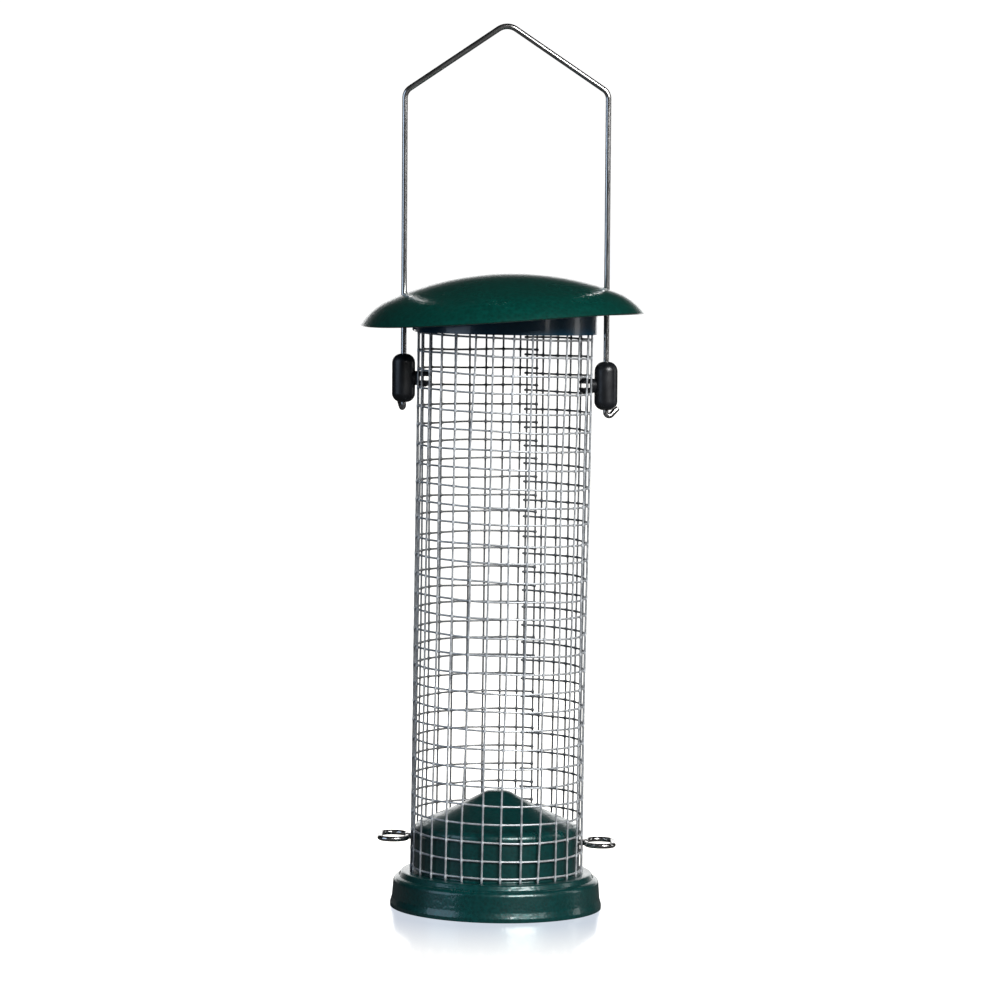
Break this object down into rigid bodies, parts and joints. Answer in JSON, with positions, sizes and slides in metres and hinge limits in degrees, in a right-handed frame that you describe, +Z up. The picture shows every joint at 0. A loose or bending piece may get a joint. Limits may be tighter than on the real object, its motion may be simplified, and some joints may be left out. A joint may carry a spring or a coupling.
{
  "type": "hanging bird feeder",
  "caption": "Wire-mesh tube feeder on a coned pressed base, with wire eye perches, a domed roof that slides up a bent wire bail, and pivoting plugs.",
  "frame": {"origin": "centre of the ring that the base stands on", "axes": "+Z up along the tube towards the bail's apex, +X towards the right-hand perch, -Y towards the front"},
  "size_m": [0.0987, 0.0988, 0.3084],
  "materials": {
    "green_enamel": "dark green hammered gloss enamel on pressed steel",
    "blue_enamel": "smooth dark petrol blue enamel on steel strip",
    "galvanised_wire": "dull zinc coated welded wire",
    "bright_wire": "bright drawn and plated wire",
    "black_plastic": "black satin moulded plastic"
  },
  "bodies": {
    "cage": {"base_tray": "green_enamel", "mesh_upright_wires": "galvanised_wire", "mesh_hoop_wires": "galvanised_wire", "collar_band": "blue_enamel", "perch_ring_left": "bright_wire", "perch_ring_right": "bright_wire"},
    "bail": {"bail_wire": "bright_wire", "pivot_plug_left": "black_plastic", "pivot_plug_right": "black_plastic"},
    "roof": {"roof": "green_enamel"}
  },
  "joints": [
    {"name": "bail_swing", "type": "hinge", "parent": "cage", "child": "bail", "pos_m": [0, 0, 0.18416], "axis": [0.9997, 0, -0.0227], "range_deg": [-10, 10]},
    {"name": "roof_lift", "type": "slide", "parent": "bail", "child": "roof", "axis": [-0.0105, 0, 0.9999], "range_m": [0, 0.065]}
  ]
}
